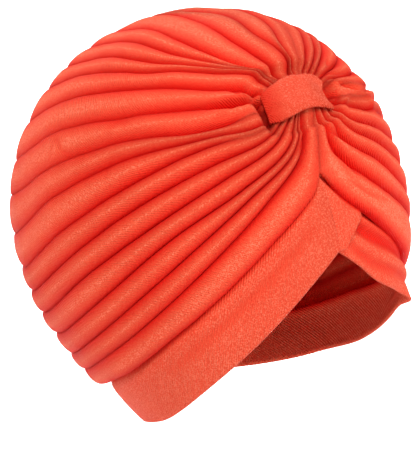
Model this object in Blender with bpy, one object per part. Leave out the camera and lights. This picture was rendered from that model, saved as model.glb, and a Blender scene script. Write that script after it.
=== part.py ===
# Turban hat: a pre-tied head wrap of pleated jersey, modelled standing open as a head fills it.
# The wearer's left is +X, the face looks along -Y and +Z is up. The origin is the seat: the point
# inside the top of the crown that rests on the head. Sizes below are millimetres, angles degrees.
import bmesh
import bpy
import numpy as np

MM = 0.001

# The rounded form that the cloth lies on: reach from its centre to each side, and how full it is.
HALF_WIDTH = 84.9
FRONT_REACH = 89.7
BACK_REACH = 104.5
TOP_REACH = 96.9
BASE_REACH = 95.1
FULLNESS = 1.99
# Where the form swells or sinks: powers of x, y and z of the direction, and the share of the reach.
SWELLS = [
    (0, 1, 1, 0.041),
    (2, 1, 0, 0.010),
    (2, 0, 1, 0.011),
    (0, 3, 0, 0.054),
    (0, 0, 3, 0.014),
    (0, 2, 1, -0.038),
    (0, 1, 2, -0.052),
    (4, 0, 0, -0.022),
    (2, 1, 1, 0.021),
    (0, 4, 0, -0.018),
]

# The knot sits high on the front, this far above the horizon of the form.
KNOT_ELEVATION = 56.06
GATHER_CENTRE = (2.0, 4.0)
GATHER_HALF_WIDTH = 14.0
GATHER_HALF_HEIGHT = 5.0

# One row for each valley between two pleats, from the band's seam up to the middle of the crown.
# reach: how far from the knot the last bearing is taken; b1 to b5: bearings from straight down,
# at 13, 27, 47, 72 and 100 per cent of that reach; back: where the valley crosses the middle of
# the back, counted from the knot over the top; depth: how deep the valley lies, in millimetres.
VALLEYS = [
    # reach, b1, b2, b3, b4, b5, back, depth
    (118, 27, 44, 55, 63, 71, 172.5, 3.4),
    (118, 38, 53, 63, 70, 78, 167.0, 3.8),
    (114, 52, 61, 71, 77, 85, 161.5, 4.2),
    (116, 58, 71, 79, 86, 95, 156.0, 4.2),
    (116, 66, 81, 88, 94, 104, 150.0, 4.0),
    (114, 72, 90, 96, 102, 112, 143.5, 3.6),
    (110, 79, 95, 105, 112, 122, 137.0, 3.2),
    (104, 93, 98, 111, 120, 131, 129.5, 2.8),
    (100, 110, 112, 120, 130, 140, 122.0, 2.8),
    (94, 125, 125, 131, 139, 149, 114.0, 2.8),
    (87, 141, 134, 138, 146, 156, 106.5, 2.8),
    (80, 153, 141, 142, 151, 160, 99.0, 2.8),
    (73, 161, 145, 147, 157, 165, 91.5, 2.8),
    (66, 170, 152, 154, 163, 170, 82.0, 2.8),
    (52, 177, 174, 170, 173, 178, 66.0, 2.8),
]
# The same valleys on the wearer's left, near the knot: where each leaves the gather, then its
# first three bearings; further back both sides are alike.
LEFT_NEAR = [
    (42, 19.5, 34, 52),
    (50, 31, 45, 58.5),
    (58, 53, 59, 70),
    (64, 62, 70, 79),
    (74, 76, 79.5, 88.5),
    (84, 86, 87.5, 97),
    (95, 102, 94.5, 103),
    (103, 107, 104, 112),
    (112, 114, 114, 121),
    (122, 121, 124.5, 131),
    (132, 128, 129.5, 137),
    (142, 135, 137, 141),
    (150, 143, 147, 149),
    (158, 150, 158, 158),
    (168, 158, 163, 173),
]
SHARES = (0.13, 0.27, 0.47, 0.72, 1.0)
MIDDLE_END = 57.0

# The shallow crease down the middle of the front, in millimetres beside and above the knot.
FRONT_CREASE = [(6.6, -1.0), (7.1, -4.6), (2.9, -12.0), (-1.2, -23.3), (-4.7, -34.2)]
FRONT_CREASE_DEPTH = 0.7

# The seam between crown and band starts at the foot of that crease; then, like the rim, it is
# given by its distance from the knot and its bearing, on each side.
SEAM_RIGHT = [(25, 13), (30, 21), (40, 33), (55, 43), (80, 53), (100, 58), (116, 62)]
SEAM_LEFT = [(25, 3), (30, 11), (40, 24.5), (55, 36), (80, 49), (100, 56), (116, 61)]
SEAM_BACK = 179.0
RIM_START = 44.3
RIM_RIGHT = [(50.6, 10.5), (57.3, 18.0), (68.4, 26.5), (81, 33.2), (95, 38.3), (112, 42), (130, 45)]
RIM_LEFT = [(52, 11), (61.4, 19.8), (71, 29.6), (81, 37.0), (96, 42.0), (112, 44.5), (130, 47)]
RIM_BACK = 193.0
SEAM_DEPTH_FRONT = 3.4
SEAM_DEPTH_BACK = 5.0

CROWN_WALL = 2.0
RIDGE_LEVEL = 2.5
SLOPE_LIMIT = 0.40
FAR_DEPTH_SHARE = 0.75
BAND_WALL = 1.6
BAND_LEVEL = 0.6
BAND_RIM_FLARE = 3.0
UNDER_FLAP_LEVEL = -1.7
SEAM_GAP = 0.9
# The corner where the lapped end stops on the left seam, and how far its foot leans to the left.
FLAP_REACH = (37.0, 19.0)
FLAP_LEAN = 0.035

# The strip across the gather: its lower edge across and up, its upper edge across and up, and its
# level, in millimetres beside and above the knot.
STRIP_ROWS = [
    (-19.6, -6.5, -15.8, 8.4, 1.6),
    (-18.2, -6.8, -14.3, 9.2, 2.3),
    (-14.6, -6.9, -10.9, 9.9, 2.8),
    (-7.6, -6.0, -4.6, 11.0, 3.2),
    (-0.8, -5.1, 2.6, 11.4, 3.4),
    (6.8, -5.2, 9.8, 10.6, 3.4),
    (13.2, -6.5, 14.4, 9.1, 3.2),
    (17.9, -7.4, 18.4, 7.0, 2.2),
]
STRIP_WALL = 1.8
STRIP_EDGE_DROP = 0.5
HOLLOW_DEPTH = 3.5
HOLLOW_CENTRE = (0.0, 2.5)
HOLLOW_HALF = (26.0, 15.5)
PIT_DEPTH = 3.0
PIT_PLACES = (-20.5, 23.5)

ROWS = 20
SEAM_ROW = 3
STEPS_PER_PLEAT = 4
BAND_STEPS = 3
FLAP_STEPS = 3
ARM = 95.0


def unit(v):
    return v / np.linalg.norm(v, axis=-1, keepdims=True)


ELEVATION = np.radians(KNOT_ELEVATION)
KNOT = np.array([0.0, -np.cos(ELEVATION), np.sin(ELEVATION)])
SIDE = np.array([1.0, 0.0, 0.0])
DOWN = np.array([0.0, -np.sin(ELEVATION), -np.cos(ELEVATION)])


def blend(t):
    t = np.clip(t, 0.0, 1.0)
    return t * t * (3.0 - 2.0 * t)


def form_radius(d):
    """Distance from the centre to the form along each direction."""
    x, y, z = d[..., 0], d[..., 1], d[..., 2]
    reach_y = BACK_REACH + (FRONT_REACH - BACK_REACH) * (0.5 - 0.5 * np.tanh(4.0 * y))
    reach_z = BASE_REACH + (TOP_REACH - BASE_REACH) * (0.5 + 0.5 * np.tanh(4.0 * z))
    sum_of_shares = (
        np.abs(x / HALF_WIDTH) ** FULLNESS
        + np.abs(y / reach_y) ** FULLNESS
        + np.abs(z / reach_z) ** FULLNESS
    )
    swell = sum(share * x**i * y**j * z**k for i, j, k, share in SWELLS)
    return sum_of_shares ** (-1.0 / FULLNESS) * (1.0 + swell)


def from_knot(distance, bearing):
    """Direction at an angular distance from the knot; bearing 0 is down, 90 the wearer's left."""
    a, r = np.radians(bearing), np.radians(distance)
    return np.cos(r) * KNOT + np.sin(r) * (np.cos(a) * DOWN + np.sin(a) * SIDE)


def over_the_top(angle):
    """Direction in the middle plane, counted from the knot over the top and down the back."""
    a = np.radians(angle)
    return np.cos(a) * KNOT - np.sin(a) * DOWN


def beside_knot(across, up):
    """Direction of a place given in millimetres beside and above the knot."""
    return unit(KNOT + (across * SIDE - up * DOWN) / ARM)


def knot_place(d):
    """Millimetres beside and above the knot, for directions near it."""
    ahead = np.maximum(d @ KNOT, 0.2)
    return ARM * (d @ SIDE) / ahead, -ARM * (d @ DOWN) / ahead


def smooth_line(points, shares, after=None):
    """A smooth line through unit vectors, read at shares of its length."""
    before = 2.0 * points[0] - points[1]
    after = 2.0 * points[-1] - points[-2] if after is None else after
    p = np.vstack([before, *points, after])
    knots = np.concatenate([[0.0], np.cumsum(np.linalg.norm(np.diff(p, axis=0), axis=1) ** 0.5)])
    pieces = []
    for i in range(1, len(p) - 2):
        t = np.linspace(knots[i], knots[i + 1], 30)[:, None]
        t0, t1, t2, t3 = knots[i - 1 : i + 3]
        a1 = ((t1 - t) * p[i - 1] + (t - t0) * p[i]) / (t1 - t0)
        a2 = ((t2 - t) * p[i] + (t - t1) * p[i + 1]) / (t2 - t1)
        a3 = ((t3 - t) * p[i + 1] + (t - t2) * p[i + 2]) / (t3 - t2)
        b1 = ((t2 - t) * a1 + (t - t0) * a2) / (t2 - t0)
        b2 = ((t3 - t) * a2 + (t - t1) * a3) / (t3 - t1)
        pieces.append(((t2 - t) * b1 + (t - t1) * b2) / (t2 - t1))
    line = unit(np.vstack(pieces))
    length = np.concatenate([[0.0], np.cumsum(np.linalg.norm(np.diff(line, axis=0), axis=1))])
    places = np.asarray(shares) * length[-1]
    return unit(np.stack([np.interp(places, length, line[:, k]) for k in range(3)], -1))


def gather_start(bearing, side):
    """Where a valley comes out of the gather under the strip."""
    a = np.radians(bearing)
    across = GATHER_CENTRE[0] + side * GATHER_HALF_WIDTH * np.sin(a)
    up = GATHER_CENTRE[1] - GATHER_HALF_HEIGHT * np.cos(a)
    return beside_knot(across, up)


def mirrored(p):
    return p * np.array([-1.0, 1.0, 1.0])


def valley_line(number, side, shares):
    """A valley from the gather round one side to the middle of the back."""
    reach, *bearings = VALLEYS[number][:6]
    start = bearings[0]
    if side > 0:
        start, bearings = LEFT_NEAR[number][0], [*LEFT_NEAR[number][1:], *bearings[3:]]
    points = [gather_start(start, side)]
    points += [from_knot(reach * share, side * b) for share, b in zip(SHARES, bearings)]
    points.append(over_the_top(VALLEYS[number][6]))
    return smooth_line(points, shares, after=mirrored(points[-2]))


def edge_line(start, rows, back, side, shares):
    """The seam or the rim, from its start in front round one side to the back."""
    points = [start]
    points += [from_knot(distance, side * bearing) for distance, bearing in rows]
    points.append(over_the_top(back))
    return smooth_line(points, shares, after=mirrored(points[-2]))


def seam_line(side, shares):
    rows = SEAM_RIGHT if side < 0 else SEAM_LEFT
    return edge_line(beside_knot(*FRONT_CREASE[-1]), rows, SEAM_BACK, side, shares)


def rim_line(side, shares):
    rows = RIM_RIGHT if side < 0 else RIM_LEFT
    return edge_line(from_knot(RIM_START, 0.0), rows, RIM_BACK, side, shares)


def row_shares():
    """Shares along a valley of the grid's rows, closer together at both ends."""
    even = np.linspace(0.0, 1.0, ROWS + 1)
    return even - 0.05 * np.sin(2.0 * np.pi * even)


def seam_shares():
    """Shares along the seam of the rows that lie on it."""
    s = row_shares()[SEAM_ROW:]
    return (s - s[0]) / (1.0 - s[0])


def lowest_line(side):
    """Down the front crease from the gather to the seam's start, then along the seam."""
    crease = [beside_knot(*place) for place in FRONT_CREASE]
    middle = smooth_line(crease, np.linspace(0.0, 1.0, SEAM_ROW + 1)[:-1])
    return np.vstack([middle, seam_line(side, seam_shares())])


def middle_line():
    """The ridge that runs from the gather over the top of the crown."""
    start = gather_start(180.0, 0)
    return smooth_line([start, over_the_top(20.0), over_the_top(38.0), over_the_top(MIDDLE_END)], row_shares())


def crown_lines(side):
    shares = row_shares()
    lines = [lowest_line(side)] + [valley_line(k, side, shares) for k in range(len(VALLEYS))]
    return lines + [middle_line()]


def valley_depths(lines, side):
    """Depth of each valley at each row, held back where the pleats are narrow."""
    shares = row_shares()
    back = blend((shares - 0.3) / 0.3)
    far = 1.0 - (1.0 - FAR_DEPTH_SHARE) * blend((shares - 0.28) / 0.25)
    wanted = [SEAM_DEPTH_FRONT + (SEAM_DEPTH_BACK - SEAM_DEPTH_FRONT) * back]
    wanted += [row[7] * far for row in VALLEYS]
    widths = [ARM * np.linalg.norm(b - a, axis=1) for a, b in zip(lines, lines[1:])]
    widths[-1] = 2.0 * widths[-1]
    depths = []
    for k, depth in enumerate(wanted):
        near = [widths[i] for i in (k - 1, k) if i >= 0]
        depths.append(np.minimum(depth, SLOPE_LIMIT * np.mean(near, axis=0)))
    depths.append(np.full(ROWS + 1, VALLEYS[-1][7]))
    joined = blend((np.arange(ROWS + 1) - SEAM_ROW) / (4.0 if side < 0 else 1.0))
    depths[0] = depths[0] * joined + FRONT_CREASE_DEPTH * (1.0 - joined)
    return depths


def pleat_rise(f):
    """Share of the pleat's height at a share f of its width."""
    return np.sin(np.pi * f) ** 0.75


def hollow_under_strip(d):
    """How far the gathers sink under the strip and at its two ends."""
    across, up = knot_place(d)
    e = (np.abs((across - HOLLOW_CENTRE[0]) / HOLLOW_HALF[0]) ** 4
         + np.abs((up - HOLLOW_CENTRE[1]) / HOLLOW_HALF[1]) ** 4) ** 0.25
    sunk = HOLLOW_DEPTH * blend((1.15 - e) / 0.3)
    for place in PIT_PLACES:
        nearness = ((across - place) / 4.0) ** 2 + ((up - HOLLOW_CENTRE[1]) / 6.0) ** 2
        sunk = sunk + PIT_DEPTH * np.exp(-nearness)
    return sunk


def crown_side(side):
    """Outer and inner points of one half of the crown, as grids of rows and columns."""
    lines = crown_lines(side)
    depths = valley_depths(lines, side)
    last = len(lines) - 2
    outer, inner = [], []
    for column in range(last + 1):
        steps = 2 if column == last else STEPS_PER_PLEAT
        count = steps + 1 if column == last else steps
        for step in range(count):
            f = step / steps
            d = unit(lines[column] * (1.0 - f) + lines[column + 1] * f)
            depth = depths[column] * (1.0 - f) + depths[column + 1] * f
            rise = pleat_rise(0.5 * f if column == last else f)
            level = RIDGE_LEVEL - depth * (1.0 - rise) - hollow_under_strip(d)
            radius = form_radius(d)
            outer.append(d * (radius + level)[:, None])
            inner.append(d * (radius + level - CROWN_WALL - 0.25 * depth * rise)[:, None])
    return np.stack(outer, 1), np.stack(inner, 1)


class Mesh:
    """Collects points and faces of one solid."""

    def __init__(self):
        self.points = []
        self.faces = []

    def grid(self, grid):
        """Adds a grid of points and its faces; returns the numbers of the points."""
        rows, columns = grid.shape[:2]
        first = len(self.points)
        self.points += [tuple(p) for p in grid.reshape(-1, 3)]
        numbers = first + np.arange(rows * columns).reshape(rows, columns)
        for i in range(rows - 1):
            for j in range(columns - 1):
                a, b = numbers[i, j], numbers[i, j + 1]
                c, d = numbers[i + 1, j + 1], numbers[i + 1, j]
                self.faces += [(a, b, c), (a, c, d)]
        return numbers

    def strip(self, one, other):
        """Joins two lines of points with faces."""
        for a, b, c, d in zip(one, one[1:], other[1:], other):
            self.faces += [(a, b, c), (a, c, d)]

    def fan(self, line, centre):
        """Closes a line of points to one point."""
        self.points.append(tuple(centre))
        middle = len(self.points) - 1
        self.faces += [(a, b, middle) for a, b in zip(line, line[1:])]

    def build(self, name, colour, lift):
        """Makes the object, in metres, with shared points joined and faces turned outward."""
        data = bpy.data.meshes.new(name)
        moved = [(x * MM, y * MM, (z + lift) * MM) for x, y, z in self.points]
        data.from_pydata(moved, [], [tuple(int(i) for i in f) for f in self.faces])
        solid = bmesh.new()
        solid.from_mesh(data)
        bmesh.ops.remove_doubles(solid, verts=solid.verts, dist=0.00002)
        bmesh.ops.dissolve_degenerate(solid, edges=solid.edges, dist=0.000005)
        bmesh.ops.triangulate(solid, faces=solid.faces)
        bmesh.ops.recalc_face_normals(solid, faces=solid.faces)
        solid.to_mesh(data)
        solid.free()
        item = bpy.data.objects.new(name, data)
        bpy.context.collection.objects.link(item)
        material = bpy.data.materials.new(name + "_cloth")
        material.use_nodes = True
        shader = material.node_tree.nodes["Principled BSDF"]
        shader.inputs["Base Color"].default_value = colour
        shader.inputs["Roughness"].default_value = 0.7
        data.materials.append(material)
        return item


def make_crown(lift):
    """The pleated crown: outer and inner skin of both halves, closed at the seam and the gather."""
    mesh = Mesh()
    centre = beside_knot(*GATHER_CENTRE)
    level = form_radius(centre) + RIDGE_LEVEL - HOLLOW_DEPTH
    for side in (-1, 1):
        outer, inner = crown_side(side)
        skin = mesh.grid(outer)
        lining = mesh.grid(inner)
        mesh.strip(skin[SEAM_ROW:, 0], lining[SEAM_ROW:, 0])
        mesh.fan(skin[0], centre * level)
        mesh.fan(lining[0], centre * (level - CROWN_WALL))
    return mesh.build("pleated_crown", (0.80, 0.06, 0.03, 1.0), lift)


def band_section(top, bottom, top_level, bottom_level):
    """Outer and inner points across the band at one station."""
    width = ARM * np.linalg.norm(bottom - top)
    inset = SEAM_GAP / width
    outer, inner = [], []
    for v in np.linspace(inset, 1.0, BAND_STEPS + 1):
        d = unit(top * (1.0 - v) + bottom * v)
        level = top_level * (1.0 - v) + bottom_level * v
        outer.append(d * (form_radius(d) + level))
        inner.append(d * (form_radius(d) + level - BAND_WALL))
    return outer, inner


def point_along(line, far, t):
    """The point on a line at share t of the way from its start to the point nearest to far."""
    along = np.concatenate([[0.0], np.cumsum(np.linalg.norm(np.diff(line, axis=0), axis=1))])
    goal = along[int(np.argmin(np.linalg.norm(line - far, axis=1)))]
    place = max(goal, np.linalg.norm(far - line[0])) * t
    return unit(np.array([np.interp(place, along, line[:, k]) for k in range(3)]))


def flap_sections():
    """The right band's end, lapped across the middle over the left band."""
    left_seam = seam_line(1, seam_shares())
    far = from_knot(*FLAP_REACH)
    apex = from_knot(RIM_START, 0.0)
    sections = []
    for t in np.linspace(1.0, 0.0, FLAP_STEPS, endpoint=False):
        top = point_along(left_seam, far, t)
        bottom = unit(apex + SIDE * FLAP_LEAN * t)
        sections.append(band_section(top, bottom, BAND_LEVEL, BAND_LEVEL))
    return sections


def side_sections(side):
    """Stations along one side of the band, from the front to the back."""
    shares = seam_shares()
    tops = seam_line(side, shares)
    bottoms = rim_line(side, shares)
    sections = []
    for s, top, bottom in zip(shares, tops, bottoms):
        far = blend((s - 0.35) / 0.3)
        top_level = BAND_LEVEL - 2.4 * far
        bottom_level = BAND_LEVEL + BAND_RIM_FLARE * far
        if side > 0:
            under = 1.0 - blend((s - 0.12) / 0.14)
            top_level += (UNDER_FLAP_LEVEL - BAND_LEVEL) * under
            bottom_level += (UNDER_FLAP_LEVEL - BAND_LEVEL) * under
        sections.append(band_section(top, bottom, top_level, bottom_level))
    return sections


def make_band(lift):
    """The flat hem band: one strip round the rim, its right end lapped over its left."""
    sections = flap_sections() + side_sections(-1) + side_sections(1)[:-1][::-1]
    outer = np.array([s[0] for s in sections])
    inner = np.array([s[1] for s in sections])
    mesh = Mesh()
    face = mesh.grid(outer)
    back = mesh.grid(inner)
    for line in (np.s_[:, 0], np.s_[:, -1], np.s_[0, :], np.s_[-1, :]):
        mesh.strip(face[line], back[line])
    return mesh.build("hem_band", (0.78, 0.07, 0.035, 1.0), lift)


def make_strip(lift):
    """The short strip that wraps the gather."""
    outer, inner = [], []
    for low_across, low_up, high_across, high_up, level in STRIP_ROWS:
        front, back = [], []
        for v in np.linspace(0.0, 1.0, 6):
            across = low_across + (high_across - low_across) * v
            d = beside_knot(across, low_up + (high_up - low_up) * v)
            here = level - STRIP_EDGE_DROP * (2.0 * v - 1.0) ** 4
            front.append(d * (form_radius(d) + here))
            back.append(d * (form_radius(d) + here - STRIP_WALL))
        outer.append(front)
        inner.append(back)
    mesh = Mesh()
    face = mesh.grid(np.array(outer))
    back = mesh.grid(np.array(inner))
    for line in (np.s_[:, 0], np.s_[:, -1], np.s_[0, :], np.s_[-1, :]):
        mesh.strip(face[line], back[line])
    return mesh.build("knot_strip", (0.82, 0.08, 0.04, 1.0), lift)


def seat_height():
    """Height of the crown's inner top above the form's centre."""
    top = np.array([0.0, 0.0, 1.0])
    return float(form_radius(top)) + RIDGE_LEVEL - CROWN_WALL - 1.2


def main():
    for item in list(bpy.data.objects):
        bpy.data.objects.remove(item, do_unlink=True)
    lift = -seat_height()
    make_crown(lift)
    make_band(lift)
    make_strip(lift)


main()
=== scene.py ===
# Looks of the turban hat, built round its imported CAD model. Metres, +Z up, the face looks along -Y.
import math

import bmesh
import bpy
import numpy as np
from mathutils import Matrix, Vector


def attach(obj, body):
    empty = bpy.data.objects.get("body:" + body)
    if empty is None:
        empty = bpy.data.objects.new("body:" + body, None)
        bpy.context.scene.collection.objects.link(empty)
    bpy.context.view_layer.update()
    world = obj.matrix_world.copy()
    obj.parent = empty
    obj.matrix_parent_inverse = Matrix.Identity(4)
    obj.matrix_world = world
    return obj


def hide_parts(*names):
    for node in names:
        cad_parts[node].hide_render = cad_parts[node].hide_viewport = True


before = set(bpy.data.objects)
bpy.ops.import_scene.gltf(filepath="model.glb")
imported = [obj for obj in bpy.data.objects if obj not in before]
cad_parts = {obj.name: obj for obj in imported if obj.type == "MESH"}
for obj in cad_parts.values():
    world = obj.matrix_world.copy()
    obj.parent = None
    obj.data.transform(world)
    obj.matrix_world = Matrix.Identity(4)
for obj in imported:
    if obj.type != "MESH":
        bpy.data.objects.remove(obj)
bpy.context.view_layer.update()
MM = 0.001

# Pleated crown: one width of polyester jersey, gathered into a bundle on the forehead and laid in
# soft rounded pleats that run round both sides and meet at the middle of the back. The pleats are
# held by rows of thread on the inside, so that the valleys between them are narrow and dark, and
# their colour carries painted shade as well.
# The form that a head gives the cloth: its reach in millimetres from its centre, each way.
HALF_WIDTH = 84.9
FRONT_REACH = 89.7
BACK_REACH = 104.5
TOP_REACH = 96.9
BASE_REACH = 95.1
FULLNESS = 1.99
# How sharply the front half of the form turns into the back half, and the top into the base.
HALVES_MEET = 4.0
# Where the form swells or sinks: powers of x, y and z of the direction, and the share of the reach.
SWELLS = [
    (0, 1, 1, 0.041),
    (2, 1, 0, 0.010),
    (2, 0, 1, 0.011),
    (0, 3, 0, 0.054),
    (0, 0, 3, 0.014),
    (0, 2, 1, -0.038),
    (0, 1, 2, -0.052),
    (4, 0, 0, -0.022),
    (2, 1, 1, 0.021),
    (0, 4, 0, -0.018),
]
# The knot's elevation in degrees, and the gathered bundle in millimetres beside and above it.
KNOT_ELEVATION = 56.06
GATHER_CENTRE = (2.0, 4.0)
GATHER_HALF_WIDTH = 14.0
GATHER_HALF_HEIGHT = 5.0
# One row for each valley, from the band up, with angles in degrees from the knot and its depth in
# millimetres. The five bearings from straight down lie at the shares of the reach in BEARINGS_AT.
VALLEYS = [
    # bearing at the gather, reach, five bearings, where it crosses the middle of the back, depth
    (2, 118, 25, 44, 55, 63, 71, 172.5, 3.4),
    (5, 118, 34, 53, 63, 70, 78, 167.0, 3.8),
    (9, 114, 41, 59, 71, 77, 85, 161.5, 4.2),
    (15, 116, 55, 70, 79, 86, 95, 156.0, 4.2),
    (25, 116, 65.5, 80, 88, 94, 104, 150.0, 4.0),
    (35, 114, 74, 90, 96, 102, 112, 143.5, 3.6),
    (44, 110, 80, 94.5, 105, 112, 122, 137.0, 2.8),
    (86, 104, 94, 98, 111, 120, 131, 129.5, 2.2),
    (110, 100, 110, 112.5, 120, 130, 140, 122.0, 2.2),
    (125, 94, 125, 125, 131, 139, 149, 114.0, 2.4),
    (145, 87, 149, 137.5, 138, 146, 156, 106.5, 2.4),
    (155, 80, 156.5, 141, 142, 151, 160, 99.0, 2.6),
    (162, 73, 161.5, 144.5, 147, 157, 165, 91.5, 2.6),
    (169, 66, 167, 148.5, 153.5, 163, 170, 82.0, 2.6),
    (177, 52, 177, 171, 169, 173, 178, 66.0, 2.8),
]
# The same valleys on the wearer's left, near the knot: where each leaves the gather, then its
# first three bearings; further back both sides are alike.
LEFT_NEAR = [
    (30, 21, 36, 52),
    (46, 39, 51, 60),
    (66, 55, 62, 70),
    (78, 65, 72, 79),
    (86, 78, 82, 88.5),
    (92, 86, 87.5, 97),
    (99, 102, 94.5, 103),
    (103, 107, 104, 112),
    (112, 114, 114, 121),
    (122, 121, 124.5, 131),
    (132, 128, 129.5, 137),
    (142, 135, 137, 141),
    (149, 140, 148, 149),
    (155, 145, 160, 158),
    (165, 152, 161, 174),
]
BEARINGS_AT = (0.13, 0.27, 0.47, 0.72, 1.0)
# Valleys that only open some way from the knot: the side, with -1 the wearer's right, the number,
# and the distances from the knot between which they open.
OPENING = [
    (-1, 5, 19, 30),
    (-1, 7, 15, 25),
    (-1, 12, 18, 30),
    (1, 5, 24, 34),
    (1, 6, 24, 34),
    (1, 7, 10, 20),
    (1, 12, 28, 44),
]
# The line over the top between the last valleys of both sides: its distances from the knot.
MIDDLE_LINE = (20.0, 38.0, 57.0)
# The crease down the middle of the front, in millimetres beside and above the knot; the seam
# starts at its foot.
FRONT_CREASE = [(6.6, -1.0), (7.1, -4.6), (2.9, -12.0), (-1.2, -23.3), (-4.7, -34.2)]
FRONT_CREASE_DEPTH = 0.25
# The seam of the band on each side: distances from the knot and bearings.
SEAM_RIGHT = [(25, 13), (30, 21), (40, 33), (55, 43), (80, 53), (100, 58), (116, 62)]
SEAM_LEFT = [(25, 3), (30, 11), (40, 24.5), (55, 36), (80, 49), (100, 56), (116, 61)]
SEAM_BACK = 179.0
SEAM_DEPTH_FRONT = 3.4
SEAM_DEPTH_BACK = 5.0
# Heights and widths in millimetres: ridges over the form, depth of the valleys at the knot, width
# of the groove in each valley and of the painted shade on the flank beside it, and the cloth's wall.
RIDGE_LEVEL = 2.5
DEPTH_NEAR_KNOT = 4.4
DEPTH_FAR_SHARE = 0.55
SLOPE_LIMIT = 0.60
GROOVE = 2.0
GROOVE_SHARE = 0.4
PLEAT_ROUNDNESS = 0.8
VALLEY_PAINTED_SHADE_WIDTH = 6.0
VALLEY_PAINTED_SHADE_CURVE = 1.2
CROWN_WALL = 1.8
INSIDE_FOLLOWS = 0.25
# The head meets the crown this far below the level of its ridges, and the part's origin is there.
SEAT_BELOW_RIDGES = 3.2
# Changes along a valley: the share of its length where each starts, and how long it takes. On the
# left the valleys above the lowest four flatten sooner.
SEAM_DEEPENS = (0.30, 0.30)
VALLEYS_SETTLE = (0.08, 0.20)
VALLEYS_FLATTEN = (0.28, 0.25)
LEFT_VALLEYS_FLATTEN = (0.09, 0.06)
LEFT_LOW_VALLEYS = 4
# The same in rows after the front crease, for the seam, and from the knot down, for the crease.
SEAM_OPENS_LEFT = (2, 9)
SEAM_OPENS_RIGHT = (0, 26)
CREASE_OPENS = (0, 4)
# Painted shade: how much darker the cloth's colour is painted for each millimetre that it lies down
# in a small fold or a pit, and how much the painted shade of a valley shallower than SHALLOW
# millimetres is lightened.
FOLD_PAINTED_SHADE = 0.7
PIT_PAINTED_SHADE = 0.35
SHALLOW = 4.0
SHALLOW_VALLEY_SHADE_LIFT = 0.6
# The hollow under the strip, in millimetres beside and above the knot.
HOLLOW_DEPTH = 3.5
HOLLOW_CENTRE = (0.0, 2.5)
HOLLOW_HALF = (21.5, 15.5)
HOLLOW_SQUARENESS = 4
HOLLOW_REACH = 1.12
HOLLOW_EDGE = 0.24
# Pits at the two ends of the strip, dark from their depth and from painted shade: place across and
# up, half width, half height and depth.
PITS = [(-18.0, 1.2, 1.5, 6.2, 13.0), (21.0, 3.0, 2.2, 4.0, 3.0)]
GATHER_THICKNESS = 2.0
# Rows along each valley, closer together at the knot, steps across each pleat outside and inside,
# and steps in each part of a smooth line.
ROWS = 140
ROWS_CROWD = 0.4
SEAM_ROW = 21
STEPS_OUTSIDE = 14
STEPS_INSIDE = 4
LINE_STEPS = 30
# Distance from the form's centre at which angles about the knot are read as millimetres.
ARM = 95.0
# Directions at a right angle to the knot or beyond are placed as if they lay this share ahead.
LEAST_AHEAD = 0.2
# The knit's own coordinates: cloth taken up by each pleat, the line along which they run, and how
# many of their units make a millimetre.
CLOTH_PER_PLEAT = 26.0
KNIT_LINE = 5
KNIT_UNITS = 0.01
# Points this near each other, in metres, are joined, and shorter edges are taken out.
MERGE_WITHIN = 0.00001
SHORTEST_EDGE = 0.000002

ELEVATION = math.radians(KNOT_ELEVATION)
KNOT = np.array([0.0, -math.cos(ELEVATION), math.sin(ELEVATION)])
SIDE = np.array([1.0, 0.0, 0.0])
DOWN = np.array([0.0, -math.sin(ELEVATION), -math.cos(ELEVATION)])


def unit(v):
    return v / np.linalg.norm(v, axis=-1, keepdims=True)


def ease(x, start, length):
    """0 up to the start, 1 from a length later on, and smooth between."""
    t = np.clip((x - start) / length, 0.0, 1.0)
    return t * t * (3.0 - 2.0 * t)


def form_radius(d):
    """Distance in millimetres from the centre to the form along each direction."""
    x, y, z = d[..., 0], d[..., 1], d[..., 2]
    reach_y = BACK_REACH + (FRONT_REACH - BACK_REACH) * (0.5 - 0.5 * np.tanh(HALVES_MEET * y))
    reach_z = BASE_REACH + (TOP_REACH - BASE_REACH) * (0.5 + 0.5 * np.tanh(HALVES_MEET * z))
    sum_of_shares = (
        np.abs(x / HALF_WIDTH) ** FULLNESS
        + np.abs(y / reach_y) ** FULLNESS
        + np.abs(z / reach_z) ** FULLNESS
    )
    swell = sum(share * x**i * y**j * z**k for i, j, k, share in SWELLS)
    return sum_of_shares ** (-1.0 / FULLNESS) * (1.0 + swell)


def from_knot(distance, bearing):
    """Direction at an angular distance from the knot; bearing 0 is down, 90 the wearer's left."""
    a, r = np.radians(bearing), np.radians(distance)
    return np.cos(r) * KNOT + np.sin(r) * (np.cos(a) * DOWN + np.sin(a) * SIDE)


def over_the_top(angle):
    """Direction on the middle plane, at an angle from the knot over the top towards the back."""
    a = np.radians(angle)
    return np.cos(a) * KNOT - np.sin(a) * DOWN


def beside_knot(across, up):
    """Direction of a place given in millimetres beside and above the knot."""
    return unit(KNOT + (across * SIDE - up * DOWN) / ARM)


def knot_place(d):
    """Millimetres beside and above the knot of each direction."""
    ahead = np.maximum(d @ KNOT, LEAST_AHEAD)
    return ARM * (d @ SIDE) / ahead, -ARM * (d @ DOWN) / ahead


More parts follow.
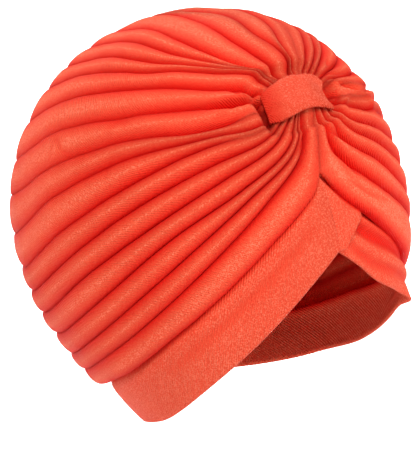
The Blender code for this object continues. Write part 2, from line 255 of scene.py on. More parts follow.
def smooth_line(points, shares, after=None):
    """A smooth line through unit vectors, read at shares of its length."""
    before = 2.0 * points[0] - points[1]
    after = 2.0 * points[-1] - points[-2] if after is None else after
    p = np.vstack([before, *points, after])
    knots = np.concatenate([[0.0], np.cumsum(np.linalg.norm(np.diff(p, axis=0), axis=1) ** 0.5)])
    pieces = []
    for i in range(1, len(p) - 2):
        t = np.linspace(knots[i], knots[i + 1], LINE_STEPS)[:, None]
        t0, t1, t2, t3 = knots[i - 1 : i + 3]
        a1 = ((t1 - t) * p[i - 1] + (t - t0) * p[i]) / (t1 - t0)
        a2 = ((t2 - t) * p[i] + (t - t1) * p[i + 1]) / (t2 - t1)
        a3 = ((t3 - t) * p[i + 1] + (t - t2) * p[i + 2]) / (t3 - t2)
        b1 = ((t2 - t) * a1 + (t - t0) * a2) / (t2 - t0)
        b2 = ((t3 - t) * a2 + (t - t1) * a3) / (t3 - t1)
        pieces.append(((t2 - t) * b1 + (t - t1) * b2) / (t2 - t1))
    line = unit(np.vstack(pieces))
    length = np.concatenate([[0.0], np.cumsum(np.linalg.norm(np.diff(line, axis=0), axis=1))])
    places = np.asarray(shares) * length[-1]
    return unit(np.stack([np.interp(places, length, line[:, k]) for k in range(3)], -1))


def gather_start(bearing, side):
    """The place on the edge of the gathered bundle where a valley starts."""
    a = np.radians(bearing)
    across = GATHER_CENTRE[0] + side * GATHER_HALF_WIDTH * np.sin(a)
    return beside_knot(across, GATHER_CENTRE[1] - GATHER_HALF_HEIGHT * np.cos(a))


def mirrored(p):
    """The same place on the other side of the head."""
    return p * np.array([-1.0, 1.0, 1.0])


def valley_line(number, side, shares):
    """A valley from the gather round one side to the middle of the back."""
    start, reach, *bearings, back, _ = VALLEYS[number]
    if side > 0:
        start, *near = LEFT_NEAR[number]
        bearings = near + bearings[len(near) :]
    points = [gather_start(start, side)]
    points += [from_knot(reach * share, side * b) for share, b in zip(BEARINGS_AT, bearings)]
    points.append(over_the_top(back))
    return smooth_line(points, shares, after=mirrored(points[-2]))


def edge_line(start, rows, back, side, shares):
    """The seam or the rim, from the front round one side to the middle of the back."""
    points = [start]
    points += [from_knot(distance, side * bearing) for distance, bearing in rows]
    points.append(over_the_top(back))
    return smooth_line(points, shares, after=mirrored(points[-2]))


def seam_line(side, shares):
    """The seam of the band, from the foot of the front crease to the middle of the back."""
    start = beside_knot(*FRONT_CREASE[-1])
    return edge_line(start, SEAM_RIGHT if side < 0 else SEAM_LEFT, SEAM_BACK, side, shares)


def row_shares():
    """Where the rows lie along each valley, as shares of its length."""
    even = np.linspace(0.0, 1.0, ROWS + 1)
    return (1.0 - ROWS_CROWD) * even + ROWS_CROWD * even**2


def seam_shares():
    """Where the rows below the front crease lie along the seam."""
    s = row_shares()[SEAM_ROW:]
    return (s - s[0]) / (1.0 - s[0])


def crown_lines(side):
    """Down the front crease and along the seam, then every valley, then over the top."""
    shares = row_shares()
    crease = [beside_knot(*place) for place in FRONT_CREASE]
    middle = smooth_line(crease, np.linspace(0.0, 1.0, SEAM_ROW + 1)[:-1])
    lines = [np.vstack([middle, seam_line(side, seam_shares())])]
    lines += [valley_line(k, side, shares) for k in range(len(VALLEYS))]
    top = [gather_start(180.0, 0)] + [over_the_top(distance) for distance in MIDDLE_LINE]
    return lines + [smooth_line(top, shares)]


def pleat_widths(lines):
    """Width of each pleat at each row; the middle line halves the topmost pleat."""
    widths = [ARM * np.linalg.norm(b - a, axis=1) for a, b in zip(lines, lines[1:])]
    widths[-1] = 2.0 * widths[-1]
    return widths


def valley_depths(lines, side):
    """Depth of each valley at each row, held back where the pleats are narrow."""
    shares = row_shares()
    wanted = [SEAM_DEPTH_FRONT + (SEAM_DEPTH_BACK - SEAM_DEPTH_FRONT) * ease(shares, *SEAM_DEEPENS)]
    settled = ease(shares, *VALLEYS_SETTLE)
    for number, (*_, depth) in enumerate(VALLEYS):
        sooner = side > 0 and number >= LEFT_LOW_VALLEYS
        far = ease(shares, *(LEFT_VALLEYS_FLATTEN if sooner else VALLEYS_FLATTEN))
        flatter = 1.0 - (1.0 - DEPTH_FAR_SHARE) * far
        wanted.append((DEPTH_NEAR_KNOT + (depth - DEPTH_NEAR_KNOT) * settled) * flatter)
    widths = pleat_widths(lines)
    depths = []
    for k, depth in enumerate(wanted):
        near = [widths[i] for i in (k - 1, k) if i >= 0]
        depths.append(np.minimum(depth, SLOPE_LIMIT * np.mean(near, axis=0)))
    depths.append(np.full(ROWS + 1, VALLEYS[-1][-1]))
    for where, number, closed, opened in OPENING:
        if where == side:
            distance = np.degrees(np.arccos(np.clip(lines[number + 1] @ KNOT, -1.0, 1.0)))
            depths[number + 1] = depths[number + 1] * ease(distance, closed, opened - closed)
    rows = np.arange(ROWS + 1)
    apart = ease(rows - SEAM_ROW, *(SEAM_OPENS_RIGHT if side < 0 else SEAM_OPENS_LEFT))
    depths[0] = depths[0] * apart + FRONT_CREASE_DEPTH * (1.0 - apart)
    depths[0][: SEAM_ROW + 1] = FRONT_CREASE_DEPTH * ease(rows[: SEAM_ROW + 1], *CREASE_OPENS)
    return depths


def pleat_rise(f, width):
    """Share of the pleat's height at a share f of its width: a narrow groove, then a soft crown."""
    near = np.minimum(f, 1.0 - f) * width
    q = np.clip(near / np.minimum(GROOVE, 0.5 * width), 0.0, 1.0)
    groove = np.sqrt(1.0 - (1.0 - q) ** 2)
    return GROOVE_SHARE * groove + (1.0 - GROOVE_SHARE) * (4.0 * f * (1.0 - f)) ** PLEAT_ROUNDNESS


def pleat_painted_light(f, width):
    """Painted light at a share f of a pleat's width: 0 in the painted shade of its valleys, up to 1."""
    near = np.minimum(f, 1.0 - f) * width
    return np.clip(near / np.minimum(VALLEY_PAINTED_SHADE_WIDTH, 0.5 * width), 0.0, 1.0) ** VALLEY_PAINTED_SHADE_CURVE


def hollow_under_strip(d):
    """How far the gathers sink under the strip and at its two ends."""
    places = zip(knot_place(d), HOLLOW_CENTRE, HOLLOW_HALF)
    away = sum(np.abs((place - centre) / half) ** HOLLOW_SQUARENESS for place, centre, half in places)
    away = away ** (1.0 / HOLLOW_SQUARENESS)
    return HOLLOW_DEPTH * ease(HOLLOW_REACH - away, 0.0, HOLLOW_EDGE) + pit_depth(d)


def pit_depth(d):
    """Depth of the two pits at each direction, in millimetres."""
    across, up = knot_place(d)
    total = np.zeros(d.shape[:-1])
    for place, height, half_width, half_height, depth in PITS:
        nearness = ((across - place) / half_width) ** 2 + ((up - height) / half_height) ** 2
        total = total + depth * np.exp(-nearness)
    return total


# Slow unevenness of hand-laid cloth: radians per millimetre on each axis, phase, and height in
# millimetres.
UNEVEN = [
    (0.12, 0.07, -0.10, 0.4, 0.20),
    (-0.09, 0.17, 0.06, 2.1, 0.15),
    (0.22, -0.12, 0.19, 4.0, 0.11),
    (0.30, 0.34, -0.24, 1.2, 0.07),
    (-0.42, 0.28, 0.46, 5.3, 0.05),
]


def unevenness(points):
    """Small rises and dips in millimetres, the same on both sides of a shared line."""
    total = 0.0
    for a, b, c, phase, height in UNEVEN:
        total = total + height * np.sin(points @ np.array([a, b, c]) + phase)
    return total


LIFT = SEAT_BELOW_RIDGES - RIDGE_LEVEL - float(form_radius(np.array([0.0, 0.0, 1.0])))


class Cloth:
    """Collects the skins of one piece of cloth with the knit's own coordinates, in millimetres."""

    def __init__(self):
        self.points = []
        self.faces = []
        self.knit = []
        self.painted_light = []

    def grid(self, points, u, v, painted_light):
        """A skin from a grid of points, with their knit coordinates and their painted light and shade."""
        rows, columns = points.shape[:2]
        first = len(self.points)
        self.points += [tuple(p) for p in points.reshape(-1, 3)]
        self.knit += [(a, b) for a, b in zip(u.reshape(-1), v.reshape(-1))]
        self.painted_light += [float(c) for c in painted_light.reshape(-1)]
        numbers = first + np.arange(rows * columns).reshape(rows, columns)
        for upper, lower in zip(numbers, numbers[1:]):
            self.strip(upper, lower)
        return numbers

    def strip(self, one, other):
        """A row of faces between two lines of points."""
        for a, b, c, d in zip(one, one[1:], other[1:], other):
            self.faces.append((a, b, c, d))

    def fan(self, line, centre):
        """Faces from a line of points to one point in the fold."""
        self.points.append(tuple(centre))
        self.knit.append((0.0, 0.0))
        # The point in the fold gets the darkest painted shade.
        self.painted_light.append(0.0)
        middle = len(self.points) - 1
        self.faces += [(a, b, middle) for a, b in zip(line, line[1:])]

    def build(self, name):
        """Makes the object with shared points joined and faces turned outward."""
        data = bpy.data.meshes.new(name)
        moved = [(x * MM, y * MM, (z + LIFT) * MM) for x, y, z in self.points]
        data.from_pydata(moved, [], [tuple(int(i) for i in f) for f in self.faces])
        layer = data.uv_layers.new(name="knit")
        for loop, place in zip(data.loops, layer.data):
            u, v = self.knit[loop.vertex_index]
            place.uv = (u * KNIT_UNITS, v * KNIT_UNITS)
        # The painted light share goes to the material, which paints shade in folds, valleys and pits with
        # it.
        shade = data.attributes.new("painted_light_share", "FLOAT", "POINT")
        shade.data.foreach_set("value", self.painted_light)
        solid = bmesh.new()
        solid.from_mesh(data)
        bmesh.ops.remove_doubles(solid, verts=solid.verts, dist=MERGE_WITHIN)
        bmesh.ops.dissolve_degenerate(solid, edges=solid.edges, dist=SHORTEST_EDGE)
        bmesh.ops.recalc_face_normals(solid, faces=solid.faces)
        solid.to_mesh(data)
        solid.free()
        data.shade_smooth()
        item = bpy.data.objects.new(name, data)
        bpy.context.scene.collection.objects.link(item)
        return item


# Small folds besides the pleats. One with a depth below zero is a ridge.
FOLDS = [
    # distances from the knot and bearings along it, depth and half width in millimetres
    ([(11.5, -112.5), (14.8, -108.2), (17.5, -107.5), (21, -110), (24.6, -111.7)], 3.2, 1.3),
    ([(17.9, -121.5), (15.1, -119.5), (12.8, -123.2), (10.3, -132.1)], 2.4, 1.2),
    ([(20.7, -114.6), (17.4, -114.1), (13.9, -115.4), (11.8, -118.8), (9.9, -126.5)], -2.0, 1.1),
    ([(24.1, -106.4), (20.8, -104.4), (16.8, -103.9), (13.9, -105.2), (11.9, -108.9)], -1.5, 1.2),
    ([(23.9, -101.9), (21, -102.9), (18.4, -104.8)], 1.2, 0.9),
    ([(11.7, -112), (11.9, -100.5), (12.1, -90.9), (11.8, -79.5)], -1.2, 0.9),
    ([(76, -124.5), (72.7, -127), (70.5, -122), (67.3, -118)], 0.8, 1.4),
    ([(3.5, 0), (8.4, -16.8), (11.8, -24.1), (15, -28.5)], 2.4, 1.1),
    ([(6.5, 56), (8.6, 36), (10.7, 30), (14.2, 34), (18.7, 39.4)], 2.2, 1.2),
    ([(12.2, 18), (16, 16.5), (18.7, 22.5), (22.1, 25.5), (26, 27)], 2.0, 1.3),
    ([(18.4, 15.6), (22.1, 18.5), (25.8, 20.3), (29.6, 23.3), (34.7, 29.3), (40.7, 36.2)], 1.1, 1.0),
    ([(22, 94), (30, 93), (38, 92)], -2.4, 8.0),
    ([(15.1, 108), (17.5, 99), (21.1, 93.5), (24.3, 90), (27.8, 90.7), (41, 97.8)], 3.4, 1.2),
    ([(13.9, 105.6), (14.8, 100.6), (16.2, 94.5)], -2.2, 0.9),
    ([(12, 99.2), (12.8, 91.4), (14.3, 84.7), (12.8, 75.1)], 3.2, 1.4),
    ([(15.9, 73), (16.7, 81), (18.3, 85.2), (21.7, 87.2), (25.4, 86.6), (28, 83.9), (32, 80.8)], -2.4, 1.0),
    ([(17.8, 79.5), (19.9, 78.9), (23.4, 79.4), (27.7, 79.3)], 2.4, 1.1),
    ([(31.2, 90.3), (37.3, 90.1), (38, 85.7)], 1.8, 1.5),
    ([(13, 115.5), (16.8, 111.6), (20.3, 107.7), (26.4, 106.2)], 1.8, 0.9),
    ([(19.4, 117), (22.8, 118.6)], 1.4, 0.9),
    ([(46, -116), (50, -119), (53, -117)], 0.5, 1.8),
    ([(58, -103), (55, -108), (51, -107)], 0.4, 1.8),
]
FOLD_PLACES = 24
FOLD_TIP = 0.04


def fold_depth(d):
    """How far the small folds dip at each direction, in millimetres."""
    total = np.zeros(len(d))
    taper = np.sin(np.pi * np.linspace(FOLD_TIP, 1.0 - FOLD_TIP, FOLD_PLACES)) ** 0.5
    for places, depth, half in FOLDS:
        line = smooth_line([from_knot(*place) for place in places], np.linspace(0.0, 1.0, FOLD_PLACES))
        gap = ARM * np.linalg.norm(d[:, None, :] - line[None, :, :], axis=2)
        total += depth * np.max(taper * np.exp(-((gap / half) ** 2)), axis=1)
    return total


def steps_across(steps, topmost):
    """Steps across a pleat: the share of the way to its next line, of its width and of its cloth.
    The topmost pleat reaches only to its own middle, the middle line."""
    if topmost:
        for t in np.linspace(0.0, 1.0, steps // 2 + 1):
            f = 1.0 - math.cos(0.5 * math.pi * t)
            yield f, 0.5 * f, 0.5 * t
    else:
        for t in np.linspace(0.0, 1.0, steps, endpoint=False):
            f = 0.5 - 0.5 * math.cos(math.pi * t)
            yield f, f, t


def crown_surface(d, depth, share, width, inside):
    """Places of the crown's cloth along directions across one pleat, and its painted light and shade."""
    rise, folds = pleat_rise(share, width), fold_depth(d)
    level = RIDGE_LEVEL - depth * (1.0 - rise) - hollow_under_strip(d)
    if inside:
        level = level - CROWN_WALL - INSIDE_FOLLOWS * depth * rise
    else:
        level = level - folds
    # Painted shade: darkest in the valleys, less in shallow ones, and darker again in small folds and pits.
    painted_light = pleat_painted_light(share, width)
    shallow = np.clip((SHALLOW - depth) / SHALLOW, 0.0, 1.0)
    painted_light = painted_light + SHALLOW_VALLEY_SHADE_LIFT * (1.0 - painted_light) * shallow**3
    painted_light = painted_light * np.exp(-FOLD_PAINTED_SHADE * np.maximum(folds, 0.0) - PIT_PAINTED_SHADE * pit_depth(d))
    at = d * (form_radius(d) + level)[:, None]
    return at + d * unevenness(at)[:, None], painted_light


def crown_skin(side, steps, inside):
    """One half of the crown's outer or inner skin: points, knit coordinates and painted light."""
    lines = crown_lines(side)
    widths, depths = pleat_widths(lines), valley_depths(lines, side)
    last = len(lines) - 2
    run = np.linalg.norm(np.diff(lines[KNIT_LINE], axis=0), axis=1)
    along = ARM * np.concatenate([[0.0], np.cumsum(run)])
    points, across, painted_light = [], [], []
    for column in range(last + 1):
        for f, share, cloth_share in steps_across(steps, column == last):
            d = unit(lines[column] * (1.0 - f) + lines[column + 1] * f)
            depth = depths[column] * (1.0 - f) + depths[column + 1] * f
            at, painted_light_here = crown_surface(d, depth, share, widths[column], inside)
            points.append(at)
            painted_light.append(painted_light_here)
            across.append(side * CLOTH_PER_PLEAT * (column + cloth_share))
    grid = np.stack(points, 1)
    u = np.broadcast_to(np.array(across), grid.shape[:2])
    v = np.broadcast_to(along[:, None], grid.shape[:2])
    return grid, u, v, np.stack(painted_light, 1)


def make_crown():
    """Both halves, joined along the middle lines and closed at the seam and over the gather."""
    cloth = Cloth()
    centre = beside_knot(*GATHER_CENTRE)
    level = form_radius(centre) + RIDGE_LEVEL - HOLLOW_DEPTH
    for side in (-1, 1):
        outer = cloth.grid(*crown_skin(side, STEPS_OUTSIDE, False))
        inner = cloth.grid(*crown_skin(side, STEPS_INSIDE, True))
        cloth.strip(outer[SEAM_ROW:, 0], inner[SEAM_ROW:, 0])
        cloth.fan(outer[0], centre * level)
        cloth.fan(inner[0], centre * (level - GATHER_THICKNESS))
    return cloth.build("crown_cloth")


# Sizes of the jersey's patterns in millimetres: rows of stitches, a little coarser than the real ones
# so that they show, tufts of raised fibres, likewise coarser, and clouds where the dye took unevenly.
STITCH_SPACING = 1.1107
FIBRE_TUFT = 2.0 / 3.0
DYE_CLOUD = 29.4
# A diagonal wave texture of scale 1 repeats after this distance.
WAVE_PERIOD = math.tau / 10.0 / math.sqrt(2.0)


def linear(colour):
    """An sRGB hex colour as linear RGBA."""
    parts = [int(colour[i : i + 2], 16) / 255.0 for i in (1, 3, 5)]
    return [c / 12.92 if c <= 0.04045 else ((c + 0.055) / 1.055) ** 2.4 for c in parts] + [1.0]


def add(material, kind, settings=(), links=()):
    """Adds one node with its settings, and links its inputs from other nodes' outputs."""
    node = material.node_tree.nodes.new(kind)
    for key, value in dict(settings).items():
        if isinstance(key, int) or key in node.inputs:
            node.inputs[key].default_value = value
        else:
            setattr(node, key, value)
    for key, source in dict(links).items():
        material.node_tree.links.new(source, node.inputs[key])
    return node


def jersey(name, pale_speck_and_highlight, light, painted_shade_colour):
    """Brushed polyester jersey: dark red in painted shade, paler with painted highlights on ridges."""
    material = bpy.data.materials.new(name)
    material.use_nodes = True
    tree = material.node_tree
    shader = tree.nodes["Principled BSDF"]
    body = add(material, "ShaderNodeTexCoord").outputs["Object"]
    knit = add(material, "ShaderNodeUVMap", {"uv_map": "knit"}).outputs["UV"]
    rows = {"Scale": WAVE_PERIOD / (STITCH_SPACING * KNIT_UNITS), "bands_direction": "DIAGONAL"}
    rows.update({"Distortion": 1.5, "Detail": 2.0, "Detail Scale": 2.0})
    stitches = add(material, "ShaderNodeTexWave", rows, {"Vector": knit})
    tufts = {"Scale": 1.0 / (FIBRE_TUFT * MM), "Detail": 1.0, "Roughness": 0.6}
    fibres = add(material, "ShaderNodeTexNoise", tufts, {"Vector": body})
    clouds = {"Scale": 1.0 / (DYE_CLOUD * MM), "Detail": 3.0, "Roughness": 0.55}
    cloud = add(material, "ShaderNodeTexNoise", clouds, {"Vector": body})
    # The cloth's painted light and shade, 0 in its darkest painted shade.
    painted_light = add(material, "ShaderNodeAttribute", {"attribute_name": "painted_light_share"})
    specks = {"From Min": 0.3, "From Max": 0.7, "To Min": -0.34, "To Max": 0.22}
    speck = add(material, "ShaderNodeMapRange", specks, {"Value": fibres.outputs["Fac"]})
    patches = {"To Min": -0.12, "To Max": 0.12}
    patch = add(material, "ShaderNodeMapRange", patches, {"Value": cloud.outputs["Fac"]})
    uneven = add(material, "ShaderNodeMath", {}, {0: speck.outputs["Result"], 1: patch.outputs["Result"]})
    brushed = add(material, "ShaderNodeMath", {1: 0.84}, {0: uneven.outputs["Value"]})
    shaded = {0: painted_light.outputs["Fac"], 1: brushed.outputs["Value"]}
    tone = add(material, "ShaderNodeMath", {"operation": "MULTIPLY", "use_clamp": True}, shaded)
    # The colour ramp paints shade and highlight: its first stop is the colour in painted shade, the second
    # the lit colour, and the last the pale fibre specks, which reach it only on lit ridges and so also
    # stand for painted highlights.
    painted_shade_ramp = add(material, "ShaderNodeValToRGB", {}, {"Fac": tone.outputs["Value"]})
    painted_shade_ramp.color_ramp.elements[0].color = linear(painted_shade_colour)
    painted_shade_ramp.color_ramp.elements[1].color = linear(light)
    painted_shade_ramp.color_ramp.elements[1].position = 0.78
    painted_shade_ramp.color_ramp.elements.new(1.0).color = linear(pale_speck_and_highlight)
    tree.links.new(painted_shade_ramp.outputs["Color"], shader.inputs["Base Color"])
    relief = add(material, "ShaderNodeMath", {}, {0: stitches.outputs["Fac"], 1: fibres.outputs["Fac"]})
    nap = {"Strength": 0.8, "Distance": 0.4 * MM}
    bump = add(material, "ShaderNodeBump", nap, {"Height": relief.outputs["Value"]})
    tree.links.new(bump.outputs["Normal"], shader.inputs["Normal"])
    matt = {"To Min": 0.58, "To Max": 0.84}
    rough = add(material, "ShaderNodeMapRange", matt, {"Value": cloud.outputs["Fac"]})
    tree.links.new(rough.outputs["Result"], shader.inputs["Roughness"])
    shader.inputs["IOR"].default_value = 1.42
    shader.inputs["Specular IOR Level"].default_value = 0.1
    shader.inputs["Sheen Weight"].default_value = 0.03
    shader.inputs["Sheen Roughness"].default_value = 0.4
    shader.inputs["Sheen Tint"].default_value = linear("#ffb9a6")
    return material


crown = make_crown()
crown.data.materials.append(jersey("crown_brushed_jersey", "#f4785a", "#ea5a3c", "#e20a02"))
# The cut has rounded corners, so it has less cloth than its width and length say. The pleats take
# up about a fifth of it.
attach(crown, "root")
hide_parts("pleated_crown")

# Hem band: the same jersey folded double into a flat strip and sewn to the lowest pleats. Its right
# end laps over its left one above the brow and leaves a notch shaped like an upturned V.
RIM_START = 44.3
RIM_RIGHT = [(50.6, 10.5), (57.3, 18.0), (68.4, 26.5), (81, 33.2), (95, 38.3), (112, 42), (130, 45)]
RIM_LEFT = [(52, 11), (61.4, 19.8), (71, 29.6), (81, 37.0), (96, 42.0), (112, 44.5), (130, 47)]
RIM_BACK = 193.0
# Wall and levels over the form in millimetres. Behind the ears the band's top edge sinks between
# the pleats and its rim stands out. Its left end lies lower, under the flap.
BAND_WALL = 1.6
BAND_LEVEL = 0.6
BAND_SINK = 2.4
BAND_RIM_FLARE = 3.0
UNDER_FLAP_LEVEL = -1.7
# The top edge: how far it starts beyond the seam, how deep it dips into it where the seam is soft
# and where it is crisp, how wide the dip and the painted shade along it are; and the roundness of
# the folded rim.
TUCK = 1.0
TUCK_CURVE = 12
SOFT_DIP = 0.5
CRISP_DIP = 2.2
DIP_WIDTH = 2.4
DIP_CURVE = 1.5
BACK_DIP_SHARE = 0.6
DIP_PAINTED_SHADE_WIDTH = 2.5
RIM_ROUND = 0.9
# Changes along the seam: the share of its length where each starts, and how long it takes.
BAND_SINKS = (0.35, 0.30)
FLAP_COVERS = (0.12, 0.14)
RIPPLES_START = (0.02, 0.08)
RIPPLES_FADE = (0.35, 0.15)
RIPPLES_DRIFT = (0.10, 0.25)
SEAM_SHARPENS = (0.0, 0.16)
FLAP_REACH = (37.0, 19.0)
FLAP_LEAN = 0.035
# Soft ripples along the band: place across it, half width, and height in millimetres.
LEFT_RIPPLES = [(0.30, 0.13, -2.9), (0.56, 0.10, 0.6), (0.74, 0.10, -1.1)]
LEFT_RIPPLES_DRIFT = -0.16
RIGHT_RIPPLES = [(0.16, 0.09, 0.5), (0.34, 0.10, -0.35)]
# The rim over the wearer's left ear stands away from the head in a soft point: its place along
# the rim, half its length, and how far it reaches.
EAR_POINT = 0.338
EAR_HALF_LENGTH = 0.042
EAR_REACH = np.array([4.2, -3.4, -1.6])
BAND_STEPS = 26
FLAP_STEPS = 18


def rim_line(side, shares):
    """The rim, from the tip of the notch round one side to the middle of the back."""
    tip = from_knot(RIM_START, 0.0)
    return edge_line(tip, RIM_RIGHT if side < 0 else RIM_LEFT, RIM_BACK, side, shares)


def band_section(top, bottom, top_level, bottom_level, ripple=(), crisp=1.0):
    """Points down the band's face and down its back at one station, and its painted light and shade."""
    width = ARM * np.linalg.norm(bottom - top)
    face, back, painted_light = [], [], []
    for t in np.linspace(0.0, 1.0, BAND_STEPS + 1):
        v = t + TUCK / width * ((1.0 - t) - 2.0 * (1.0 - t) ** TUCK_CURVE)
        d = unit(top * (1.0 - v) + bottom * v)
        from_top, from_rim = v * width, (1.0 - v) * width
        wave = sum(height * math.exp(-(((v - place) / half) ** 2)) for place, half, height in ripple)
        reach = float(form_radius(d)) + top_level * (1.0 - v) + bottom_level * v + wave
        deepest = SOFT_DIP + (CRISP_DIP - SOFT_DIP) * crisp
        dip = deepest * math.exp(-((max(from_top, 0.0) / DIP_WIDTH) ** DIP_CURVE))
        rounded = (1.0 - min(from_rim / RIM_ROUND, 1.0)) ** 2
        fold = 0.5 * BAND_WALL * (1.0 - math.sqrt(max(0.0, 1.0 - rounded)))
        face.append(d * (reach - dip - fold))
        back.append(d * (reach - BAND_WALL - BACK_DIP_SHARE * dip + fold))
        # Painted shade along the top edge, where it dips into the seam, and in the ripples' dips.
        painted_light.append(float(ease(from_top, 0.0, DIP_PAINTED_SHADE_WIDTH)) * math.exp(FOLD_PAINTED_SHADE * min(wave, 0.0)))
    return face, back, painted_light


def doubled(face, back, u, v, painted_light, name):
    """A strip of doubled cloth from its face and back, closed along all four edges."""
    cloth = Cloth()
    outer, inner = cloth.grid(face, u, v, painted_light), cloth.grid(back, u, v, painted_light)
    for line in (np.s_[:, 0], np.s_[:, -1], np.s_[0, :], np.s_[-1, :]):
        cloth.strip(outer[line], inner[line])
    return cloth.build(name)


def stand_away(section, reach):
    """Moves the lower part of a band section outward, most at the rim."""
    face, back, painted_light = section
    share = np.linspace(0.0, 1.0, len(face)) ** 3
    moved = [[p + reach * k for p, k in zip(line, share)] for line in (face, back)]
    return moved[0], moved[1], painted_light


def point_along(line, far, t):
    """The point on a line at share t of the way from its start to the point nearest to far."""
    along = np.concatenate([[0.0], np.cumsum(np.linalg.norm(np.diff(line, axis=0), axis=1))])
    goal = along[int(np.argmin(np.linalg.norm(line - far, axis=1)))]
    place = max(goal, np.linalg.norm(far - line[0])) * t
    return unit(np.array([np.interp(place, along, line[:, k]) for k in range(3)]))


def flap_sections():
    """The lapped end, from its free end to the tip of the notch, along the left seam."""
    left_seam = seam_line(1, seam_shares())
    far, tip = from_knot(*FLAP_REACH), from_knot(RIM_START, 0.0)
    for t in np.linspace(1.0, 0.0, FLAP_STEPS, endpoint=False):
        top, bottom = point_along(left_seam, far, t), unit(tip + SIDE * FLAP_LEAN * t)
        yield band_section(top, bottom, BAND_LEVEL, BAND_LEVEL)


def side_sections(side):
    """One side of the band, from the front to the middle of the back."""
    shares = seam_shares()
    for s, top, bottom in zip(shares, seam_line(side, shares), rim_line(side, shares)):
        behind_ear = ease(s, *BAND_SINKS)
        under = 1.0 - ease(s, *FLAP_COVERS) if side > 0 else 0.0
        lower = (UNDER_FLAP_LEVEL - BAND_LEVEL) * under
        top_level = BAND_LEVEL - BAND_SINK * behind_ear + lower
        bottom_level = BAND_LEVEL + BAND_RIM_FLARE * behind_ear + lower
        strength = float(ease(s, *RIPPLES_START) * (1.0 - ease(s, *RIPPLES_FADE)))
        waves, drift, crisp = RIGHT_RIPPLES, 0.0, float(ease(s, *SEAM_SHARPENS))
        if side > 0:
            waves, drift, crisp = LEFT_RIPPLES, LEFT_RIPPLES_DRIFT * float(ease(s, *RIPPLES_DRIFT)), 1.0
        ripple = [(place + drift, width, height * strength) for place, width, height in waves]
        section = band_section(top, bottom, top_level, bottom_level, ripple, crisp)
        if side > 0:
            reach = EAR_REACH * math.exp(-(((s - EAR_POINT) / EAR_HALF_LENGTH) ** 2))
            section = stand_away(section, reach)
        yield section


def make_band():
    """One strip: the lapped end, the right side to the middle of the back, and the left side."""
    sections = [*flap_sections(), *side_sections(-1), *list(side_sections(1))[-2::-1]]
    face, back, painted_light = (np.array([section[k] for section in sections]) for k in range(3))
    # The knit runs along the band, and straight on into the lapped end.
    run = np.linalg.norm(np.diff(face[FLAP_STEPS:, BAND_STEPS // 2], axis=0), axis=1)
    u, v = np.zeros(face.shape[:2]), np.linalg.norm(face - face[:, -1:], axis=2)
    u[FLAP_STEPS:] = np.concatenate([[0.0], np.cumsum(run)])[:, None]
    upright = unit(face[FLAP_STEPS, 0] - face[FLAP_STEPS, -1])
    flap = face[:FLAP_STEPS] - face[FLAP_STEPS, -1]
    v[:FLAP_STEPS] = flap @ upright
    u[:FLAP_STEPS] = -np.linalg.norm(flap - v[:FLAP_STEPS, :, None] * upright, axis=2)
    return doubled(face, back, u, v, painted_light, "band_cloth")


band = make_band()
# The band's colours are a darker copy of the crown's jersey: painted shade.
band.data.materials.append(jersey("band_brushed_jersey", "#ea6c50", "#e24e33", "#d80e03"))
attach(band, "root")
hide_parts("hem_band")

# Knot strip: a short length of the jersey wrapped tightly over the gathers on the forehead; its
# ends go in behind the bundle and are caught by hand stitches that don't show.
STRIP_ROWS = [
    # share of the length, lower edge across and up, upper edge across and up, level over the form
    (0.00, -17.8, -4.4, -15.4, 8.4, 0.2),
    (0.05, -16.6, -5.0, -13.9, 9.2, 1.3),
    (0.15, -13.4, -6.3, -10.5, 9.9, 2.4),
    (0.35, -7.6, -6.0, -4.6, 11.0, 3.2),
    (0.55, -0.8, -5.1, 2.6, 11.4, 3.5),
    (0.75, 6.8, -5.2, 9.8, 10.6, 3.4),
    (0.90, 13.2, -6.5, 15.2, 9.1, 3.1),
    (1.00, 17.9, -7.4, 19.2, 7.0, 2.0),
]
STRIP_LENGTH = 45.0
STRIP_WIDTH = 17.0
STRIP_WALL = 1.8
STRIP_EDGE_DROP = 0.7
STRIP_EDGE_CURVE = 8
# Its left end is cut hollow, over the last part of its length; its right end has painted shade.
STRIP_END_CURVE = 3.6
STRIP_END_CURVES = (0.7, 0.3)
STRIP_END_PAINTED_SHADE = 0.3
STRIP_END_SHADE_FADES = (0.0, 0.35)
# Soft waves in the pulled cloth: radians over the width, radians per millimetre along it, height.
STRIP_WAVES = [(9.0, 0.35, 0.12), (14.0, 0.5, 0.16)]
STRIP_STEPS = 60
STRIP_ROUND = 24


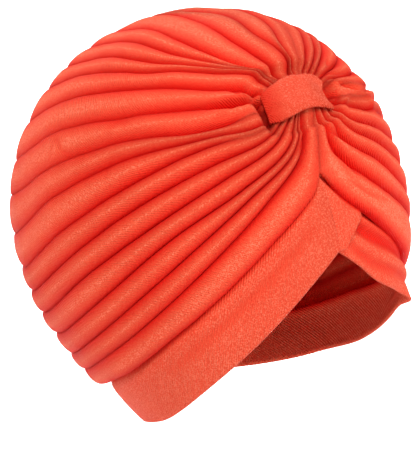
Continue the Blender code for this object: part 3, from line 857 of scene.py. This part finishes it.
def make_strip():
    """The strip from its right end to its left one, read smoothly between its rows."""
    rows = np.array(STRIP_ROWS)
    shares = 0.5 - 0.5 * np.cos(np.pi * np.linspace(0.0, 1.0, STRIP_STEPS + 1))
    widths = np.linspace(0.0, 1.0, STRIP_ROUND + 1)
    face, back = [], []
    for s in shares:
        low_x, low_y, high_x, high_y, level = (np.interp(s, rows[:, 0], rows[:, k]) for k in range(1, 6))
        cut = STRIP_END_CURVE * float(ease(s, *STRIP_END_CURVES))
        for v in widths:
            across = low_x + (high_x - low_x) * v - cut * math.sin(math.pi * v)
            d = beside_knot(across, low_y + (high_y - low_y) * v)
            edge = STRIP_EDGE_DROP * (2.0 * v - 1.0) ** STRIP_EDGE_CURVE
            soft = sum(height * math.sin(a * v + b * across) for a, b, height in STRIP_WAVES)
            reach = float(form_radius(d)) + level
            face.append(d * (reach - edge + soft))
            back.append(d * (reach - STRIP_WALL))
    grid = (STRIP_STEPS + 1, STRIP_ROUND + 1)
    face, back = np.array(face).reshape(*grid, 3), np.array(back).reshape(*grid, 3)
    # Painted shade at the right end, fading out along the first part of the strip.
    painted_light = STRIP_END_PAINTED_SHADE + (1.0 - STRIP_END_PAINTED_SHADE) * ease(shares, *STRIP_END_SHADE_FADES)
    u = np.broadcast_to(STRIP_LENGTH * shares[:, None], grid)
    v = np.broadcast_to(STRIP_WIDTH * widths[None, :], grid)
    return doubled(face, back, u, v, np.broadcast_to(painted_light[:, None], grid), "strip_cloth")


strip = make_strip()
# The strip's colours are a darker copy of the crown's jersey: painted shade.
strip.data.materials.append(jersey("strip_brushed_jersey", "#e2664e", "#d64930", "#c80e03"))
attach(strip, "root")
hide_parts("knot_strip")

# Studio: a plain pale floor of matt white paper lies well below the hat, which is shown as it is
# worn. Soft light comes from large panels, and the camera stands to the front and above.
FLOOR_BELOW = 0.42
FLOOR_SIZE = 12.0
VIEW_YAW, VIEW_PITCH = math.radians(39.375), math.radians(24.093)
VIEW_DISTANCE = 1.3
VIEW_LENS = 219.58
VIEW_SHIFT = (-0.02518, -0.01375)

bpy.ops.object.select_all(action="DESELECT")
bpy.ops.mesh.primitive_plane_add(size=FLOOR_SIZE, location=(0.0, 0.0, -FLOOR_BELOW))
floor = bpy.context.object
floor.name = "floor"
floor.data.transform(floor.matrix_world)
floor.matrix_world = Matrix.Identity(4)
pale = bpy.data.materials.new("matt_white_paper")
pale.use_nodes = True
pale.node_tree.nodes["Principled BSDF"].inputs["Base Color"].default_value = linear("#f6f6f6")
pale.node_tree.nodes["Principled BSDF"].inputs["Roughness"].default_value = 0.9
floor.data.materials.append(pale)

to_camera = Vector((
    -math.sin(VIEW_YAW) * math.cos(VIEW_PITCH),
    -math.cos(VIEW_YAW) * math.cos(VIEW_PITCH),
    math.sin(VIEW_PITCH),
))
right = Vector((math.cos(VIEW_YAW), -math.sin(VIEW_YAW), 0.0))
upward = to_camera.cross(right)
middle = Vector((0.0, 0.0, LIFT * MM))
lens = bpy.data.cameras.new("camera")
lens.lens = VIEW_LENS
lens.sensor_width = 36.0
lens.shift_x, lens.shift_y = VIEW_SHIFT
lens.clip_end = 50.0
camera = bpy.data.objects.new("camera", lens)
bpy.context.scene.collection.objects.link(camera)
turn = Matrix((right, upward, to_camera)).transposed().to_4x4()
camera.matrix_world = Matrix.Translation(middle + to_camera * VIEW_DISTANCE) @ turn
bpy.context.scene.camera = camera


def panel(name, across, up, ahead, size, power, aim=middle, spread=180.0):
    """A square light panel, placed by its distances in metres as the camera sees them."""
    light = bpy.data.lights.new(name, "AREA")
    light.shape = "SQUARE"
    light.size = size
    light.energy = power
    light.spread = math.radians(spread)
    item = bpy.data.objects.new(name, light)
    bpy.context.scene.collection.objects.link(item)
    spot = middle + right * across + upward * up + to_camera * ahead
    facing = (aim - spot).to_track_quat("-Z", "Y").to_matrix().to_4x4()
    item.matrix_world = Matrix.Translation(spot) @ facing


for place in (
    # name, metres to the right, up and ahead, size in metres, power in watts
    ("key_panel", 0.05, 0.75, 1.4, 0.5, 18.5),
    ("left_panel", -1.25, 0.4, 0.8, 0.6, 9.5),
    ("right_panel", 1.2, 0.3, 0.9, 0.6, 14.0),
    ("back_panel", -0.5, 0.9, -1.0, 0.8, 3.0),
):
    panel(*place)
# The floor behind the hat has a panel of its own, narrow enough to miss the hat.
floor_behind = middle + Vector((math.sin(VIEW_YAW), math.cos(VIEW_YAW), -0.4))
panel("floor_panel", 0.0, 1.1, -0.7, 1.4, 26.0, aim=floor_behind, spread=120.0)
world = bpy.data.worlds.new("studio")
world.use_nodes = True
world.node_tree.nodes["Background"].inputs["Color"].default_value = (1.0, 1.0, 1.0, 1.0)
world.node_tree.nodes["Background"].inputs["Strength"].default_value = 0.15
bpy.context.scene.world = world
bpy.context.scene.view_settings.view_transform = "Standard"
